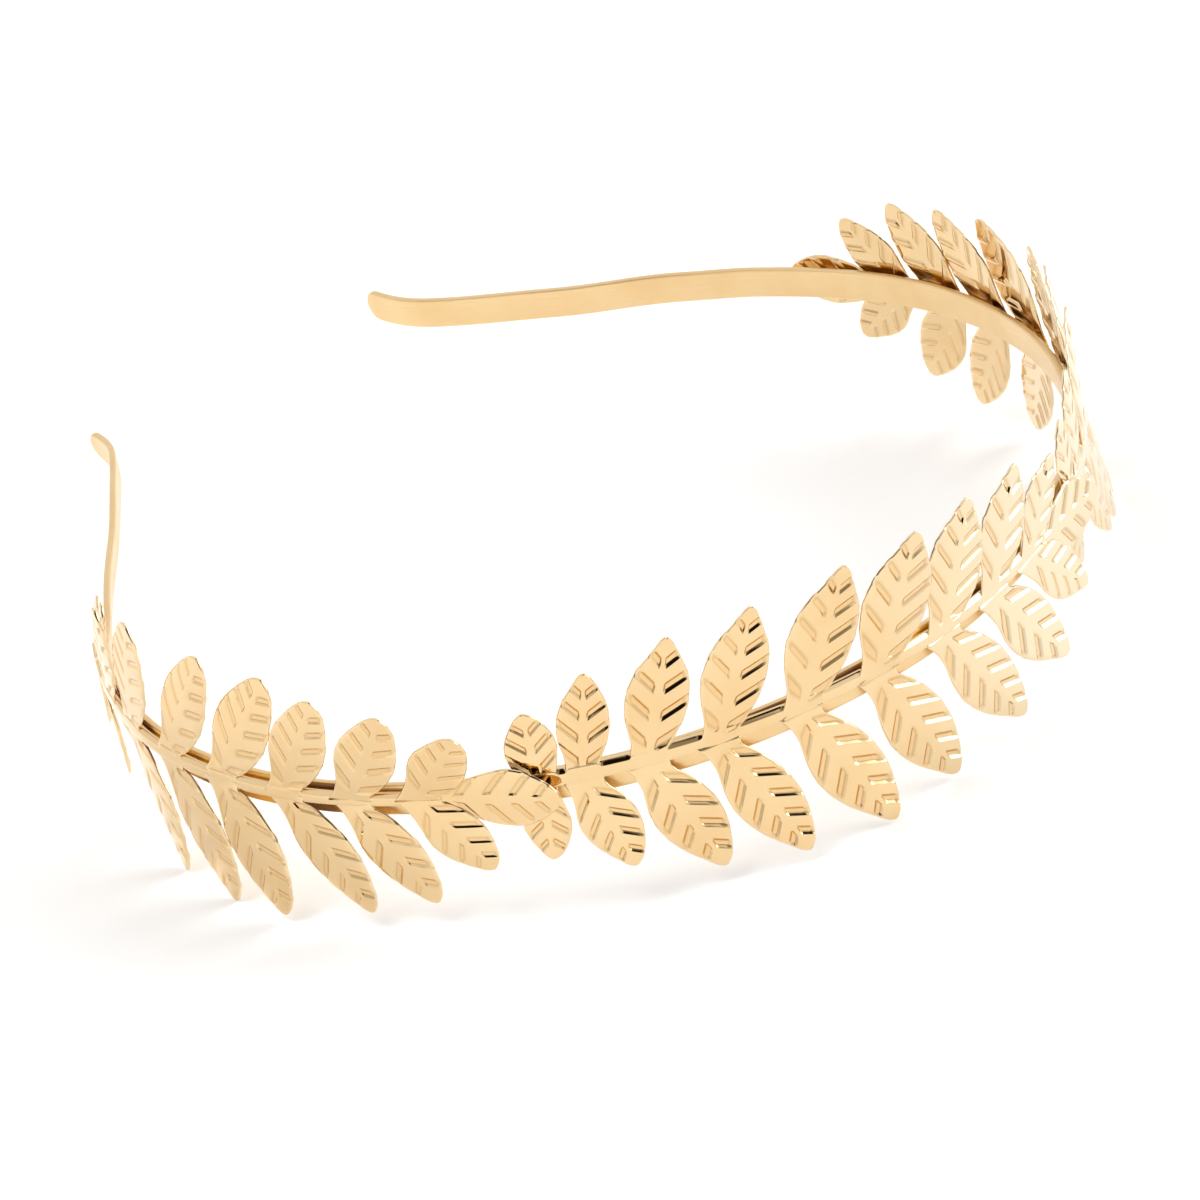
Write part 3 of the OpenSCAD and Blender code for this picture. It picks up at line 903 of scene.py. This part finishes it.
# Painted shade: amber and brown in the slits behind the stems
colour = slit_shade.blend(colour, patches.between(0.42, 0.6).blend(SLIT_SHADE_AMBER, SLIT_SHADE_BROWN))
rough = SATIN + streaks.between(0.3, 0.7) * 0.12 + patches.between(0.4, 0.8) * 0.05 - slit_shade * SHADE_LESS_ROUGH
bump = tree.node("ShaderNodeBump", {}, {"Strength": 0.15, "Distance": 0.0001, "Height": streaks})
metal = {"Base Color": colour, "Metallic": 1 - slit_shade * SHADE_LESS_METAL, "Roughness": rough, "Normal": bump}
tree.node("ShaderNodeOutputMaterial", {}, {"Surface": tree.node("ShaderNodeBsdfPrincipled", {}, metal)})
strip.data.materials.append(gilt_strip)
print("The strip's finish has", len(gilt_strip.node_tree.nodes), "nodes")

# %% [markdown]
# ## Floor
#
# The crown stands on a plain white table, on the tips of its lower leaves. A broad flat disc that reaches
# past every view does the job; its paper-white paint is almost matt, with the slightest unevenness.

# %% Floor
FLOOR_RADIUS = 6
FLOOR_CORNERS = 96
PAPER_WHITE = (0.90, 0.90, 0.90, 1)
PAPER_BRIGHT = (0.92, 0.92, 0.92, 1)
bpy.ops.mesh.primitive_circle_add(vertices=FLOOR_CORNERS, radius=FLOOR_RADIUS, fill_type="NGON")
floor = bpy.context.object
floor.name = "white_table"
paint, tree = finish_of("table_white")
tone = tree.node("ShaderNodeTexNoise", {}, {"Scale": 30, "Detail": 2}).blend(PAPER_WHITE, PAPER_BRIGHT)
matt = tree.node("ShaderNodeBsdfPrincipled", {}, {"Base Color": tone, "Roughness": 0.85})
tree.node("ShaderNodeOutputMaterial", {}, {"Surface": matt})
floor.data.materials.append(paint)
print("The table is", 2 * FLOOR_RADIUS, "m across")

# %% [markdown]
# ## Studio light
#
# A mirror shows its room, so polished metal is lit by what stands round it. Here that is a white tent. It is
# open toward the camera, where the dark room shows through with a grey rim round it, and a smaller dark gap
# is high up on the right. A faint grey patch is low on the far left, and a bright window stands on the right.
# The pressed veins turn some of their walls toward the openings, and these are the dark bars that give the
# gold its sparkle. A panorama picture could do the same, but soft ovals placed by angle are easy to move
# until the bars fall where the photograph has them. The camera itself sees plain white past the crown.

# %% White tent with its window and its openings
# Azimuth from the right spray's side round by the open back, height, half width and half height, all in
# degrees, and the share of the oval that doesn't fade
OPENING = (-143, 36, 22, 26, 0.75)
HIGH_GAP = (-76, 58, 26, 12, 0.5)
GREY_RIM = (-130, 38, 40, 27, 0.75)
GREY_PATCH = (172, 14, 16, 14, 0.5)
WINDOW = (-28, 28, 32, 24, 0.4)
FADE_BEHIND = 0.2
PATCH_GREY = 0.5
WHITE = (1, 1, 1, 1)
WINDOW_LIGHT = (6, 6, 6, 1)
GREY_LIGHT = (0.34, 0.33, 0.29, 1)
DARK_ROOM = (0.01, 0.006, 0.004, 1)
world = bpy.data.worlds.new("white_tent")
world.use_nodes = True
world.node_tree.nodes.clear()
bpy.context.scene.world = world
tree = Wire(world.node_tree)
ray = tree.node("ShaderNodeTexCoord", out=0)


def soft_patch(azimuth, height, wide, high, core):
    """1 inside an oval patch of the sky and 0 outside."""
    a, e = math.radians(azimuth), math.radians(height)
    middle = Vector((math.cos(a) * math.cos(e), math.sin(a) * math.cos(e), math.sin(e)))
    level = Vector((-math.sin(a), math.cos(a), 0)) / math.sin(math.radians(wide))
    rising = middle.cross(level).normalized() / math.sin(math.radians(high))
    aside, above, facing = (
        tree.node("ShaderNodeVectorMath", {"operation": "DOT_PRODUCT"}, {0: ray, 1: axis}, out=1)
        for axis in (level, rising, middle)
    )
    inside = 1 - (aside * aside + above * above).between(core * core, 1)
    return inside * facing.between(0, FADE_BEHIND)


opening = soft_patch(*OPENING) | soft_patch(*HIGH_GAP)
grey = soft_patch(*GREY_RIM) | (soft_patch(*GREY_PATCH) * PATCH_GREY)
window = soft_patch(*WINDOW)
reflected = 1 - tree.node("ShaderNodeLightPath")
light = (window * reflected).blend(WHITE, WINDOW_LIGHT)
light = (grey * reflected).blend(light, GREY_LIGHT)
light = (opening * reflected).blend(light, DARK_ROOM)
glow = tree.node("ShaderNodeBackground", {}, {"Color": light, "Strength": 1})
tree.node("ShaderNodeOutputWorld", {}, {"Surface": glow})
print("The tent has", len(world.node_tree.nodes), "nodes")

# %% [markdown]
# ## Soft lamp overhead
#
# The tent alone gives hardly any shadow. One broad lamp above the crown adds the faint soft shadow that
# keeps it on the table. It is hidden from reflections, which would otherwise show its square outline. The
# plain view transform is used so that the white of the tent stays white.

# %% Soft light overhead
LAMP_SIZE = (0.9, 0.7)
LAMP_WATTS = 8
LAMP_PLACE = (-0.5, 0.2, 1.4)
key = bpy.data.lights.new("overhead_softbox", "AREA")
key.shape = "RECTANGLE"
key.size, key.size_y = LAMP_SIZE
key.energy = LAMP_WATTS
lamp = bpy.data.objects.new("overhead_softbox", key)
bpy.context.collection.objects.link(lamp)
lamp.visible_glossy = False
lamp.location = LAMP_PLACE
lamp.rotation_euler = (-lamp.location).to_track_quat("-Z", "Y").to_euler()
bpy.context.scene.view_settings.view_transform = "Standard"
print("The lamp is", round(lamp.location.length, 2), "m from the crown")

# %% [markdown]
# ## Camera
#
# The photograph was taken from the front left and above, through a long lens, with the camera rolled. The
# angles below were found by matching leaf tips of the model to the same tips in the photograph.

# %% Camera
CAMERA_AZIMUTH = 30.628
CAMERA_HEIGHT = 27.894
CAMERA_ROLL = -14.526
CAMERA_DISTANCE = 797.1
CAMERA_TARGET = Vector((-11.85, 47.006, 0))
FOCAL_PIXELS = 6149.05
IMAGE_PIXELS = 1200
SENSOR = 36
a, e, roll = (math.radians(d) for d in (CAMERA_AZIMUTH, CAMERA_HEIGHT, CAMERA_ROLL))
forward = Vector((math.sin(a) * math.cos(e), math.cos(a) * math.cos(e), -math.sin(e)))
level = forward.cross(Vector((0, 0, 1))).normalized()
upright = level.cross(forward)
right = level * math.cos(roll) + upright * math.sin(roll)
up = upright * math.cos(roll) - level * math.sin(roll)

lens = bpy.data.cameras.new("photo_camera")
lens.sensor_width = SENSOR
lens.lens = FOCAL_PIXELS / IMAGE_PIXELS * SENSOR
camera = bpy.data.objects.new("photo_camera", lens)
bpy.context.collection.objects.link(camera)
facing = Matrix((right, up, -forward)).transposed().to_4x4()
stands_at = (STAND + CAMERA_TARGET - forward * CAMERA_DISTANCE) * MM
camera.matrix_world = Matrix.Translation(stands_at) @ facing
bpy.context.scene.camera = camera
print("Lens:", round(lens.lens, 1), "mm")
